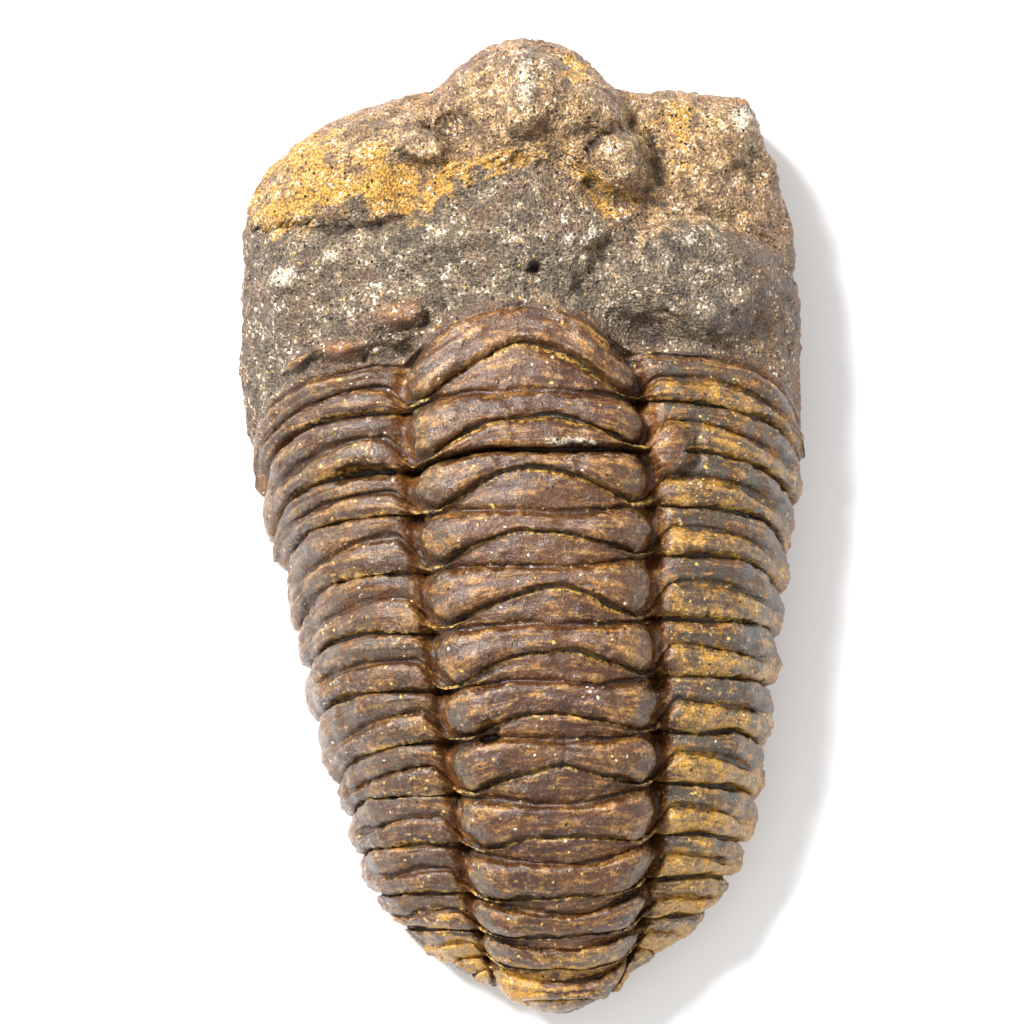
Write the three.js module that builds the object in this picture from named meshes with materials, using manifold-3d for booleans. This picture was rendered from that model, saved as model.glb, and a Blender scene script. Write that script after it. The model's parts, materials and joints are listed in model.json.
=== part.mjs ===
// A trilobite fossil: a whole, slightly sheared calymenid with its stony filling, in one piece of stone.
// It lies belly down on a flat base, back up. Millimetres, +Z up, +Y towards the head.
// The origin is on the base, under the middle of the outline.

import * as THREE from "three";
import { mergeVertices } from "three/addons/utils/BufferGeometryUtils.js";
import Module from "manifold-3d";

const wasm = await Module();
wasm.setup();

// Five rails run from the head's front edge to the end of the tail, as points [x, y, z].
// Each rail has one point on every line across the back: the front edge, two lines on the head, the neck
// line, then the back edge of each of the twelve ringed segments, and last the end of the tail.
const rails = {
  leftMargin: [
    [-21.0, 23.9, 7.0], [-21.6, 18.0, 7.0], [-21.7, 10.8, 6.8], [-20.4, 4.1, 6.3],
    [-19.6, 1.8, 6.0], [-18.9, -1.7, 5.8], [-17.9, -3.8, 5.6], [-17.1, -8.5, 5.4],
    [-16.2, -11.4, 5.2], [-15.6, -15.7, 5.0], [-14.1, -20.2, 4.8], [-13.0, -22.9, 4.6],
    [-12.1, -25.8, 4.3], [-11.2, -28.7, 4.0], [-9.1, -31.4, 3.6], [-5.5, -34.5, 3.0],
    [-2.6, -34.9, 2.0],
  ],
  leftFurrow: [
    [-6.7, 33.2, 8.0], [-7.2, 26.3, 14.2], [-8.2, 18.8, 15.6], [-8.9, 12.0, 16.0],
    [-9.1, 8.3, 16.4], [-8.5, 3.9, 16.6], [-8.2, 0.6, 16.7], [-7.5, -3.9, 16.6],
    [-6.9, -8.2, 16.3], [-6.3, -12.5, 15.8], [-5.7, -16.6, 15.0], [-5.0, -20.5, 13.9],
    [-4.4, -24.5, 12.4], [-3.9, -28.1, 10.6], [-3.2, -31.2, 8.7], [-2.7, -33.4, 6.4],
    [-1.5, -35.9, 2.6],
  ],
  crest: [
    [0.7, 37.2, 9.5], [0.6, 29.5, 16.5], [0.3, 22.5, 17.7], [-0.3, 16.4, 18.4],
    [-0.1, 10.0, 19.6], [0.6, 5.9, 20.1], [0.9, 1.0, 20.3], [1.3, -3.1, 20.2],
    [1.7, -7.6, 19.9], [2.1, -12.0, 19.3], [2.4, -16.3, 18.3], [2.7, -21.1, 16.9],
    [2.9, -25.6, 15.2], [3.0, -29.6, 13.1], [3.1, -32.5, 11.1], [3.3, -35.2, 8.2],
    [3.2, -37.3, 4.2],
  ],
  rightFurrow: [
    [7.1, 33.6, 8.0], [9.4, 26.8, 13.8], [8.8, 19.6, 15.3], [8.3, 12.9, 15.8],
    [9.0, 9.3, 16.3], [9.8, 5.3, 16.5], [9.9, 1.4, 16.5], [10.2, -2.5, 16.4],
    [10.2, -7.1, 16.1], [10.5, -11.3, 15.6], [10.5, -15.5, 14.8], [10.4, -19.7, 13.7],
    [10.3, -23.7, 12.2], [9.9, -27.1, 10.5], [9.5, -30.3, 8.6], [8.8, -32.8, 6.0],
    [6.5, -36.2, 2.6],
  ],
  rightMargin: [
    [17.4, 32.4, 7.5], [20.1, 25.8, 7.5], [21.5, 16.5, 7.0], [21.6, 6.5, 6.5],
    [21.2, 4.6, 6.0], [20.7, 1.1, 5.8], [20.2, -2.5, 5.6], [19.9, -5.6, 5.4],
    [19.4, -8.9, 5.2], [19.2, -12.7, 5.0], [18.6, -17.3, 4.8], [18.0, -21.3, 4.6],
    [17.1, -24.6, 4.3], [16.0, -27.2, 4.0], [14.7, -29.4, 3.6], [10.9, -33.4, 3.0],
    [7.2, -35.0, 2.0],
  ],
};
const headLine = 1; // the line across the middle of the head
const neckLine = 3; // the line where the head ends and the first ring begins
const lastRingLine = 15; // the back edge of the last ring
const tailLine = 16;

// How far back each ring's band reaches on the midline, as a share of its segment. The rest of the segment is
// the half ring that the next one slides over.
const bandShare = [0.45, 0.66, 0.34, 0.3, 0.41, 0.42, 0.53, 0.44, 0.5, 0.6, 0.6, 0.6, 0.5];
const bandShareAtFurrow = 0.93;
const sideFurrowShare = 0.53; // where the groove of each side rib lies in its segment
const crackDepth = 0.75; // between one segment and the next
const ribGrooveDepth = 0.4;
const grooveShare = 0.07; // half width of both, as a share of the segment
const bandHeight = 0.5;
const halfRingDrop = 0.35;
const ribHeight = 0.3;
const tipHeight = 0.45; // how far the rib tips stand out of the flank
const axialFurrowDepth = 0.8;
const axialFurrowWidth = 0.14; // half of it, in stations across the body
const pitDepth = 0.9; // of the pits in that furrow, between the knobs of the rings
const pitShare = 0.2; // half length of a pit, as a share of the segment
const axisPower = 0.55; // lower makes the arch of the axis flatter on top and steeper at its sides
const flankPower = 0.9; // the same for the arch of the flanks
const endPower = 0.6; // the same for the brow and the end of the tail, seen from the side
const arrowPower = 2.2; // how far forward the rings are bent on the midline: higher is squarer
const headSweep = { left: 0.68, right: 1 }; // lower makes the front edge of a cheek straighter
const ringSweep = 1.4; // higher keeps the ribs level further out before they turn back

const below = -1.2; // the skin is carried down to here before the base is cut flat
const tuckHeight = 4.5; // under this height the flanks and the end walls turn in
const cornerDepth = 0.5; // how far the flanks slant back at their corners with the end walls
const sideTuck = 0.1; // share of the half width by which they do so at the base
const endTuck = 0.05; // the same share of the half length

// Swellings and hollows of the head: centre, half widths, turn in degrees, and height, which is negative in a
// hollow.
const headForms = [
  { name: "midline ridge", at: [0.3, 31.0], half: [1.5, 5.0], turn: 0, height: 0.8 },
  { name: "right front lobe", at: [5.6, 32.2], half: [1.7, 2.4], turn: 32, height: 1.0 },
  { name: "hollow left of the front lobe", at: [-5.2, 30.4], half: [2.6, 1.6], turn: -12, height: -1.5 },
  { name: "left cheek", at: [-14.5, 25.9], half: [6.5, 2.9], turn: 24, height: 1.3 },
  { name: "step below the left cheek", at: [-15.6, 21.8], half: [6.0, 0.9], turn: 0, height: -0.8 },
  { name: "right cheek hollow", at: [12.2, 29.8], half: [2.4, 4.2], turn: -12, height: -1.7 },
  { name: "right cheek corner", at: [16.8, 30.6], half: [1.6, 2.6], turn: -20, height: 1.1 },
  { name: "neck swelling", at: [-0.4, 21.6], half: [8.5, 2.8], turn: 0, height: 0.8 },
  { name: "right plateau", at: [13.6, 19.2], half: [5.2, 3.8], turn: -18, height: 1.5 },
  { name: "left plateau", at: [-15.0, 15.6], half: [5.5, 4.5], turn: 0, height: 0.5 },
  { name: "hollow behind the right plateau", at: [9.0, 14.6], half: [2.6, 0.9], turn: -25, height: -0.9 },
];

// Creases of the head: three points of a curve, half width and depth.
const headCreases = [
  {
    name: "furrow in front of the neck",
    through: [[-7.6, 24.4], [-0.4, 29.0], [6.6, 24.2]],
    half: 1.1,
    depth: 0.7,
  },
  {
    name: "crack left of the plateau",
    through: [[8.8, 24.4], [6.8, 20.2], [2.6, 16.6]],
    half: 0.9,
    depth: 0.9,
  },
];

// Lumps that stand clear of the skin and are fused to it: centre, half sizes, turn and tilt in degrees, and
// how finely they are rounded. The broken chips stay angular.
const lumps = [
  { name: "basal lobe", at: [7.4, 27.3, 14.3], half: [2.4, 2.9, 2.2], turn: 35, tilt: 12, rounding: 2 },
  { name: "block by a ring", at: [11.4, 5.9, 16.4], half: [1.4, 1.7, 1.1], turn: -8, tilt: 10, rounding: 1 },
  { name: "ridge on a ring", at: [2.0, 6.5, 19.9], half: [4.8, 1.0, 0.8], turn: -2, tilt: 0, rounding: 1 },
  { name: "upper chip", at: [-9.2, 15.6, 15.9], half: [1.7, 0.9, 0.8], turn: 14, tilt: -12, rounding: 1 },
  { name: "lower chip", at: [-13.6, 13.1, 15.2], half: [1.8, 0.7, 0.7], turn: 12, tilt: -22, rounding: 1 },
];

const smooth = (from, to, value) => THREE.MathUtils.smoothstep(value, from, to);
const mix = THREE.MathUtils.lerp;
const radians = THREE.MathUtils.degToRad;

const railCurves = Object.fromEntries(
  Object.entries(rails).map(([name, points]) => [
    name,
    new THREE.CatmullRomCurve3(points.map((p) => new THREE.Vector3(...p))),
  ]),
);

// A rail's point at a line number. The brow and the end of the tail are rounded over towards their edges.
function railPoint(name, line) {
  const points = rails[name];
  const at = railCurves[name].getPoint(THREE.MathUtils.clamp(line, 0, tailLine) / tailLine);
  if (line < headLine) {
    const rise = (1 - (1 - line / headLine) ** 2.4) ** endPower;
    at.z = mix(points[0][2], points[headLine][2], rise);
  }
  if (line > lastRingLine) {
    const fall = (1 - (line - lastRingLine) ** 2) ** endPower;
    at.z = mix(points[tailLine][2], points[lastRingLine][2], fall);
  }
  return at;
}

// Where in its segment the crack behind the ring's band lies, or on the sides the rib's groove.
function dividingShare(segment, across) {
  const a = Math.abs(across);
  const onBand = mix(bandShare[segment], bandShareAtFurrow, Math.min(a, 1) ** 1.7);
  return mix(onBand, sideFurrowShare, smooth(1, 1.3, a));
}

// The line number of a row, given its place in the segment as this station across the body sees it.
function lineOf(row, across) {
  if (row <= neckLine || row >= tailLine) return row;
  const segment = Math.floor(row - neckLine);
  const share = row - neckLine - segment;
  const divide = dividingShare(segment, across);
  const warped = share < 0.5 ? 2 * share * divide : divide + (2 * share - 1) * (1 - divide);
  return neckLine + segment + warped;
}

// The smooth body under the relief. Across runs 0 on the crest, 1 at the furrow beside it, 2 at the widest
// line of the flank and 3 below the base, negative on the left.
function bodyPoint(line, across) {
  const side = across < 0 ? "left" : "right";
  const a = Math.abs(across);
  const crest = railPoint("crest", line);
  const furrow = railPoint(side + "Furrow", line);
  const margin = railPoint(side + "Margin", line);
  if (a <= 1)
    return new THREE.Vector3(
      mix(crest.x, furrow.x, a),
      mix(crest.y, furrow.y, a ** arrowPower),
      mix(furrow.z, crest.z, (1 - a * a) ** axisPower),
    );
  if (a <= 2) {
    const turn = ((a - 1) * Math.PI) / 2;
    const sweep = mix(headSweep[side], ringSweep, smooth(0, neckLine, line));
    return new THREE.Vector3(
      mix(furrow.x, margin.x, Math.sin(turn)),
      mix(furrow.y, margin.y, (1 - Math.cos(turn)) ** sweep),
      mix(margin.z, furrow.z, Math.cos(turn) ** flankPower),
    );
  }
  const atFront = 1 - smooth(0, headLine, line);
  const atBack = smooth(lastRingLine, tailLine, line);
  const y = margin.y - (atFront - atBack) * cornerDepth * (a - 2);
  return new THREE.Vector3(margin.x, y, mix(margin.z, below, a - 2));
}

// Which way the relief stands out of the body.
function outward(line, across) {
  const a = Math.abs(across);
  const side = Math.sign(across);
  const turn = a <= 1 ? 0.5 * a ** 4 : a <= 2 ? mix(0.2, Math.PI / 2, a - 1) : Math.PI / 2;
  const forward = 1 - smooth(0, 0.5, line) - smooth(tailLine - 0.6, tailLine, line);
  return new THREE.Vector3(
    side * Math.sin(turn),
    forward * 0.6,
    Math.cos(turn) * (1 - 0.7 * Math.abs(forward)),
  ).normalize();
}

// A rounded band between two grooves: 0 at both, 1 in the middle.
const band = (share) => Math.sin(Math.PI * share) ** 0.6;
// A groove of a given half width around a place.
const groove = (distance, halfWidth) => Math.max(0, 1 - Math.abs(distance) / halfWidth);

function segmentRelief(row, across) {
  if (row < neckLine) return 0;
  const a = Math.abs(across);
  const share = (row - neckLine) % 1;
  const onTail = smooth(lastRingLine - 2, lastRingLine, row);
  const edge = Math.min(share, 1 - share);
  const crack = groove(edge, grooveShare);
  const divide = groove(share - 0.5, grooveShare);

  const ring = share < 0.5 ? bandHeight * band(2 * share) : halfRingDrop * (band(2 * share - 1) - 1);
  const onAxis = ring - 0.5 * ribGrooveDepth * crack - crackDepth * divide;

  const twoRibs = ribHeight * band((2 * share) % 1) - crackDepth * crack - ribGrooveDepth * divide;
  const oneTip = tipHeight * band(share) - 0.5 * crackDepth * crack;
  const onSide = mix(twoRibs, oneTip, smooth(1.6, 2, a));

  const relief = mix(onAxis, onSide, smooth(0.96, 1.1, a));
  return relief * (1 - 0.6 * onTail) * (1 - smooth(2.2, 2.8, a));
}

function axialFurrow(row, across) {
  const onRings = smooth(neckLine - 0.2, neckLine + 0.3, row) * (1 - smooth(lastRingLine, tailLine, row));
  const fromKnob = Math.abs(((row - neckLine + 0.5) % 1) - 0.5);
  const depth = axialFurrowDepth + pitDepth * groove(fromKnob, pitShare);
  return -depth * onRings * groove(Math.abs(across) - 1, axialFurrowWidth);
}

const creaseLines = headCreases.map(({ through, half, depth }) => {
  const bend = new THREE.QuadraticBezierCurve(...through.map((p) => new THREE.Vector2(...p)));
  return { points: bend.getPoints(24), half, depth };
});

function headRelief(point, line, across) {
  let relief = 0;
  for (const form of headForms) {
    const turn = radians(form.turn);
    const [dx, dy] = [point.x - form.at[0], point.y - form.at[1]];
    const along = (dx * Math.cos(turn) + dy * Math.sin(turn)) / form.half[0];
    const aside = (dy * Math.cos(turn) - dx * Math.sin(turn)) / form.half[1];
    relief += form.height * Math.exp(-((along * along + aside * aside) ** 1.5));
  }
  for (const crease of creaseLines) {
    const near = Math.min(...crease.points.map((p) => Math.hypot(point.x - p.x, point.y - p.y)));
    relief -= crease.depth * smooth(0, 1, groove(near, crease.half));
  }
  const onHead = 1 - smooth(neckLine - 0.2, neckLine + 0.1, line);
  const onTop = 1 - smooth(1.9, 2.3, Math.abs(across));
  return relief * onHead * onTop;
}

function skinPoint(row, across) {
  const line = lineOf(row, across);
  const point = bodyPoint(line, across);
  const relief = segmentRelief(row, across) + axialFurrow(row, across) + headRelief(point, line, across);
  return point.addScaledVector(outward(line, across), relief);
}

// Columns of points across the body, closest together at the furrows.
const halfStations = [0.25, 0.5, 0.7, 0.86, 1, 1.1, 1.24, 1.42, 1.6, 1.75, 1.88, 2, 2.4, 3];
const stations = [...halfStations.toReversed().map((a) => -a), 0, ...halfStations];
const underColumns = 2;

// The front and back walls drop from the end rows to the base. Rise is 1 along their upper edge and 0 at
// their foot.
function wallPoint(row, rise, across) {
  const point = skinPoint(row, across);
  const underEdge = Math.max(0, Math.abs(across) - 2) * (1 - rise);
  point.y += (row === 0 ? 1 : -1) * cornerDepth * underEdge;
  point.z = mix(below, point.z, rise);
  return point;
}

// One loop of the skin: over the back from the left to the right, and home under the base.
function loopPoint({ row, rise }, column) {
  if (column < stations.length) return wallPoint(row, rise, stations[column]);
  const home = (column - stations.length + 1) / underColumns;
  return wallPoint(row, rise, stations[stations.length - 1]).lerp(wallPoint(row, rise, stations[0]), home);
}

// Rows of points from the foot of the front wall, over the back, to the foot of the back wall.
const headSteps = 24;
const headRows = Array.from({ length: headSteps }, (_, i) => neckLine * (i / headSteps) ** 1.2);
const lip = grooveShare;
const rowShares = [0, lip, 0.25, 0.5 - lip, 0.5, 0.5 + lip, 0.75, 1 - lip]; // across one segment
const ringRows = [];
for (let line = neckLine; line < tailLine; line++) ringRows.push(...rowShares.map((share) => line + share));
const wallRises = [0, 0.35, 0.7];
const loops = [
  ...wallRises.map((rise) => ({ row: 0, rise })),
  ...[...headRows, ...ringRows, tailLine].map((row) => ({ row, rise: 1 })),
  ...wallRises.toReversed().map((rise) => ({ row: tailLine, rise })),
];

// Near the base every wall turns in a little.
function tuckIn(point) {
  const turned = THREE.MathUtils.clamp(1 - point.z / tuckHeight, 0, 1) ** 2;
  point.x *= 1 - sideTuck * turned;
  point.y *= 1 - endTuck * turned;
  return point;
}

// A sphere has the right net of points: its poles become the feet of the end walls, and each of its rings of
// latitude becomes one loop.
function skinGeometry() {
  const columns = stations.length - 1 + underColumns;
  const rows = loops.length + 1;
  const sphere = new THREE.SphereGeometry(1, columns, rows);
  const { position, uv } = sphere.attributes;
  for (let i = 0; i < position.count; i++) {
    const row = Math.round((1 - uv.getY(i)) * rows);
    const column = Math.round(uv.getX(i) * columns) % columns;
    let point;
    if (row === 0) point = wallPoint(0, 0, 0).setY(rails.crest[headLine][1]);
    else if (row === rows) point = wallPoint(tailLine, 0, 0).setY(rails.crest[lastRingLine][1]);
    else point = loopPoint(loops[row - 1], column);
    tuckIn(point);
    position.setXYZ(i, point.x, point.y, point.z);
  }
  return sphere;
}

function solidFrom(geometry) {
  const bare = geometry.clone();
  bare.deleteAttribute("normal");
  bare.deleteAttribute("uv");
  const merged = mergeVertices(bare, 1e-4);
  return new wasm.Manifold(
    new wasm.Mesh({
      numProp: 3,
      vertProperties: merged.attributes.position.array,
      triVerts: new Uint32Array(merged.index.array),
    }),
  );
}

function geometryFrom(solid) {
  const { vertProperties, triVerts } = solid.getMesh();
  const geometry = new THREE.BufferGeometry();
  geometry.setAttribute("position", new THREE.BufferAttribute(new Float32Array(vertProperties), 3));
  geometry.setIndex(new THREE.BufferAttribute(new Uint32Array(triVerts), 1));
  geometry.computeVertexNormals();
  return geometry;
}

function lumpSolid({ at, half, turn, tilt, rounding }) {
  const lump = new THREE.IcosahedronGeometry(1, rounding);
  lump.scale(...half);
  lump.rotateZ(radians(turn));
  lump.rotateY(radians(tilt));
  lump.translate(...at);
  return solidFrom(lump);
}

function fossilGeometry() {
  const underBase = new THREE.BoxGeometry(60, 90, 10).translate(0, 0, -5);
  let stone = solidFrom(skinGeometry());
  for (const lump of lumps) stone = stone.add(lumpSolid(lump));
  return geometryFrom(stone.subtract(solidFrom(underBase)));
}

const fossil = new THREE.Mesh(
  fossilGeometry(),
  new THREE.MeshStandardMaterial({ color: 0x6f4e32, roughness: 0.62, metalness: 0 }),
);
fossil.name = "trilobite_fossil";

const group = new THREE.Group();
group.add(fossil);
export default group;
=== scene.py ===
import json
import math

import bmesh
import bpy
import numpy as np
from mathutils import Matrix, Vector, noise

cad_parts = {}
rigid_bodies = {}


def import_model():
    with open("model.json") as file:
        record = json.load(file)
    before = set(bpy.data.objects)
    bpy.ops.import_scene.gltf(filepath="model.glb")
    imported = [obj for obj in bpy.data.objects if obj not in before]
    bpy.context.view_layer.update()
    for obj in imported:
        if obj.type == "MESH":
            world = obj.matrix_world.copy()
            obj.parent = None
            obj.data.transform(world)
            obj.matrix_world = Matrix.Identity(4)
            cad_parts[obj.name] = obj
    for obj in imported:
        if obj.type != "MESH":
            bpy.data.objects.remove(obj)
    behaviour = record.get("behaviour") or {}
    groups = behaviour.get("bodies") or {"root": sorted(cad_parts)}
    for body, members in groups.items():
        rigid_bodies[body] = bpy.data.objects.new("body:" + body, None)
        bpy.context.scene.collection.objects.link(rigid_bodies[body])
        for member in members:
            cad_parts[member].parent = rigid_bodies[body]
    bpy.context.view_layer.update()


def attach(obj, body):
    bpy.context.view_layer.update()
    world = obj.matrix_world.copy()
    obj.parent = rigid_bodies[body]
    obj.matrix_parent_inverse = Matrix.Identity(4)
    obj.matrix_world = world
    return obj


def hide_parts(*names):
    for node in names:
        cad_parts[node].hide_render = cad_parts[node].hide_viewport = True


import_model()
mm = 0.001

# the stone body, in millimetres: five lines run from the front edge of the head to the end of the tail,
# with a point at every line across the back (0 front edge, 1 mid head, 3 neck, 15 last ring, 16 tail)
body = {
    "leftMargin": [
        (-21.0, 23.9, 7.0), (-21.6, 18.0, 7.0), (-21.7, 10.8, 6.8), (-20.4, 4.1, 6.3),
        (-19.6, 1.8, 6.0), (-18.9, -1.7, 5.8), (-17.9, -3.8, 5.6), (-17.1, -8.5, 5.4),
        (-16.2, -11.4, 5.2), (-15.6, -15.7, 5.0), (-14.1, -20.2, 4.8), (-13.0, -22.9, 4.6),
        (-12.1, -25.8, 4.3), (-11.2, -28.7, 4.0), (-9.1, -31.4, 3.6), (-5.5, -34.5, 3.0),
        (-2.6, -34.9, 2.0),
    ],
    "leftFurrow": [
        (-6.7, 33.2, 8.0), (-7.2, 26.3, 14.2), (-8.2, 18.8, 15.6), (-8.9, 12.0, 16.0),
        (-9.1, 8.3, 16.4), (-8.5, 3.9, 16.6), (-8.2, 0.6, 16.7), (-7.5, -3.9, 16.6),
        (-6.9, -8.2, 16.3), (-6.3, -12.5, 15.8), (-5.7, -16.6, 15.0), (-5.0, -20.5, 13.9),
        (-4.4, -24.5, 12.4), (-3.9, -28.1, 10.6), (-3.2, -31.2, 8.7), (-2.7, -33.4, 6.4),
        (-1.7, -36.1, 2.6),
    ],
    "crest": [
        (0.7, 37.2, 9.5), (0.6, 29.5, 16.5), (0.3, 22.5, 17.7), (-0.3, 16.4, 18.4),
        (-0.1, 10.0, 19.6), (0.6, 5.9, 20.1), (0.9, 1.0, 20.3), (1.3, -3.1, 20.2),
        (1.7, -7.6, 19.9), (2.1, -12.0, 19.3), (2.4, -16.3, 18.3), (2.7, -21.1, 16.9),
        (2.9, -25.6, 15.2), (3.0, -29.6, 13.1), (3.1, -32.5, 11.1), (3.3, -35.2, 8.2),
        (3.0, -38.1, 4.2),
    ],
    "rightFurrow": [
        (7.1, 33.6, 8.0), (9.4, 26.8, 13.8), (8.8, 19.6, 15.3), (8.3, 12.9, 15.8),
        (9.0, 9.3, 16.3), (9.8, 5.3, 16.5), (9.9, 1.4, 16.5), (10.2, -2.5, 16.4),
        (10.2, -7.1, 16.1), (10.5, -11.3, 15.6), (10.5, -15.5, 14.8), (10.4, -19.7, 13.7),
        (10.3, -23.7, 12.2), (9.9, -27.1, 10.5), (9.5, -30.3, 8.6), (8.8, -32.8, 6.0),
        (6.9, -36.5, 2.6),
    ],
    "rightMargin": [
        (17.4, 32.4, 7.5), (20.1, 25.8, 7.5), (21.5, 16.5, 7.0), (21.6, 6.5, 6.5),
        (21.2, 4.6, 6.0), (20.7, 1.1, 5.8), (20.2, -2.5, 5.6), (19.9, -5.6, 5.4),
        (19.4, -8.9, 5.2), (19.2, -12.7, 5.0), (18.6, -17.3, 4.8), (18.0, -21.3, 4.6),
        (17.1, -24.6, 4.3), (16.0, -27.2, 4.0), (14.7, -29.4, 3.6), (10.9, -33.4, 3.0),
        (7.2, -35.0, 2.0),
    ],
    "headLine": 1,
    "neckLine": 3,
    "lastRingLine": 15,
    "tailLine": 16,
    "axisPower": 0.55,  # lower is flatter on top
    "neckPower": 1.0,
    "neckFilling": 1.0,  # the sandy filling levels the furrows there
    "flankPower": 0.9,
    "endPower": 0.6,
    "arrowPower": 2.2,  # how the rings bend forward on the midline
    "leftHeadSweep": 0.8,
    "rightHeadSweep": 1.0,
    "ringSweep": 1.4,
    "below": -1.2,  # the skin is carried down to here, then cut flat
    "tuckHeight": 4.5,
    "sideTuck": 0.1,
    "endTuck": 0.05,
}

# the net of points that is moved onto the body
net = {
    "rowsPerSegment": 27,
    "headRows": 118,
    "headRowPower": 1.15,  # rows lie closer towards the front edge
    "topColumns": 170,
    "wallSteps": 9,  # from the widest line down to the base
    "rowGathering": 0.55,  # how far rows gather at the cracks
    "columnGathering": 0.3,  # how far columns gather at the furrows
    "weld": 0.01,  # where the walls meet at the corners
    "uvSize": (0.009, 0.0043),  # how wide a unit across and how long a row are in the UV map
}

# how unsteadily that net lies on the body
drifting = {
    "flatSize": (9, 4),
    "alongSize": 7,
    "along": (0.07, 0.13),  # shares of a segment, on the axis and on the sides
    "acrossSize": 9,
    "across": 0.04,
    "steadyEnds": 0.5,  # rows at each end that it spares
    "unevenSize": 5,
    "uneven": 0.5,  # how much the height of the ribs varies
    "wobbleSize": 1.6,
    "wobble": 0.3,  # millimetres that the edges of the head's forms wander
    "lumpEdgeSize": 1.2,
    "lumpEdge": 0.14,
}

segments = {
    # how far back each band reaches on the midline, as a share of its segment
    "bandShare": [0.45, 0.42, 0.34, 0.30, 0.41, 0.42, 0.53, 0.44, 0.50, 0.60, 0.60, 0.60, 0.50],
    "bandShareAtFurrow": 0.9,
    "reach": 0.82,  # the crack behind a band has come down to there by this far out
    "crackBends": 0.1,
    "ribShare": (0.42, 0.58),  # where the rib's groove lies, by the furrow and far out
    "length": 4.3,
    "peak": 0.12,  # the cracks arch highest a little right of the crest
    "bandHeight": (0.5, 1.25),  # on the crest, and at the knobs
    "bandPower": 0.5,
    "knobGrows": (0.15, 0.8),  # from there to there across, the band swells into its knob
    "rearPower": (5, 2.2),  # how square the band's rear edge is, on the crest and at the knobs
    "rearRounds": (0.55, 0.9),
    "bandGroove": 0.12,  # a shallow line along each band
    "bandGroovePlace": -0.25,
    "bandGrooveWidth": 0.16,
    "lineCount": 2.5,
    "firstRingLines": 0.13,  # the first ring has several
    "tailLines": 0.2,  # and so has the tail
    "bandDrop": (0.12, 0.4),  # how far the half ring behind it lies lower
    "flakeSegment": 1,  # its half ring is hidden by a thick flake, over a wide crack
    "flakeHeight": 1.0,
    "flakeFrom": (-0.85, -0.6),  # across, where its left end rises
    "bigCrackDepth": 1.5,
    "bigCrackWidth": 0.24,
    "knobFloor": 0.65,  # how deep it falls away round the end of a knob
    "knobStart": 0.68,  # where the rounding of a band's end begins
    "knobEnd": 0.97,
    "crackDepth": (0.4, 0.5),
    "crackWidth": 0.1,
    "seamOffset": 0.17,
    "seamWidth": 0.1,
    "frontDepth": 0.35,
    "frontWidth": 0.2,
    "ribPower": 0.5,
    "frontRibHeight": 0.5,
    "frontRibEnds": 0.35,  # how much of that height is left at its two ends
    "rearRibHeight": 0.55,
    "ribCrackDepth": 0.7,
    "ribCrackWidth": 0.12,
    "ribGrooveDepth": 0.3,
    "ribGrooveWidth": 0.2,
    "tipFrom": (1.55, 1.95),  # across, where two ribs become one tip
    "tipHeight": 0.6,
    "tipOverlap": 0.2,  # each tip's rear edge stands over the front of the next
    "furrowDepth": 0.35,
    "furrowWidth": 0.07,
    "pitDepth": 1.2,
    "pitShare": 0.17,
}

# swellings and hollows: x, y, half sizes, turn in degrees, height, and how square the sides are
forms = [
    ("front lobe", 0.4, 32.5, 6.4, 4.4, 0, 1.0, 5),
    ("right front lobe", 6.0, 31.7, 1.8, 2.1, 25, 1.8, 6),
    ("hollow left of the front lobe", -5.2, 30.3, 2.7, 1.9, -12, -1.2, 3),
    ("deep of that hollow", -5.4, 30.2, 1.4, 0.8, -12, -1.5, 3),
    ("grey ledge", -7.4, 28.6, 2.0, 1.3, -20, 1.8, 6),
    ("left cheek", -14.8, 26.0, 6.9, 3.4, 22, 1.6, 4),
    ("step below the left cheek", -15.6, 21.6, 6.0, 0.9, 0, -0.4, 3),
    ("right cheek hollow", 12.8, 29.4, 3.0, 4.2, -12, -1.1, 3),
    ("right cheek corner", 16.8, 30.6, 1.6, 2.6, -20, 1.3, 4),
    ("neck swelling", -0.4, 21.6, 8.5, 2.8, 0, 0.9, 4),
    ("white ridge on the neck", -4.5, 21.5, 3.0, 0.8, 12, 0.6, 3),
    ("right plateau", 13.2, 18.8, 6.1, 4.0, -14, 2.3, 9),
    ("left plateau", -15.0, 15.6, 5.5, 4.5, 0, 0.5, 3),
    ("white swell on the left", -18.2, 19.0, 2.2, 1.3, 30, 0.7, 4),
    ("hollow behind the right plateau", 8.8, 14.7, 2.4, 0.7, -25, -1.1, 3),
    ("hollow by the basal lobe", 10.7, 27.0, 1.0, 2.8, 14, -0.3, 3),
    ("drilled dot", 1.0, 19.3, 0.38, 0.38, 0, -1.2, 8),
    ("left face", -2.6, 32.8, 2.0, 2.8, 20, -0.8, 3),
    ("notch in a knob", -2.4, -15.6, 0.8, 1.0, 0, -0.9, 8),
]

# lumps and chips that hide the rings and ribs under them, in the same terms
lumps = [
    ("basal lobe", 7.6, 27.1, 2.9, 2.1, -42, 2.3, 4),
    ("block by a ring", 11.1, 5.8, 1.6, 1.9, -8, 1.9, 12),
    ("upper chip", -9.0, 15.9, 1.8, 1.0, 14, 1.9, 5),
    ("lower chip", -13.6, 13.2, 1.9, 0.8, 6, 1.6, 5),
    ("lower chip's tail", -16.8, 12.4, 2.0, 0.5, 35, 1.0, 5),
]

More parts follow.
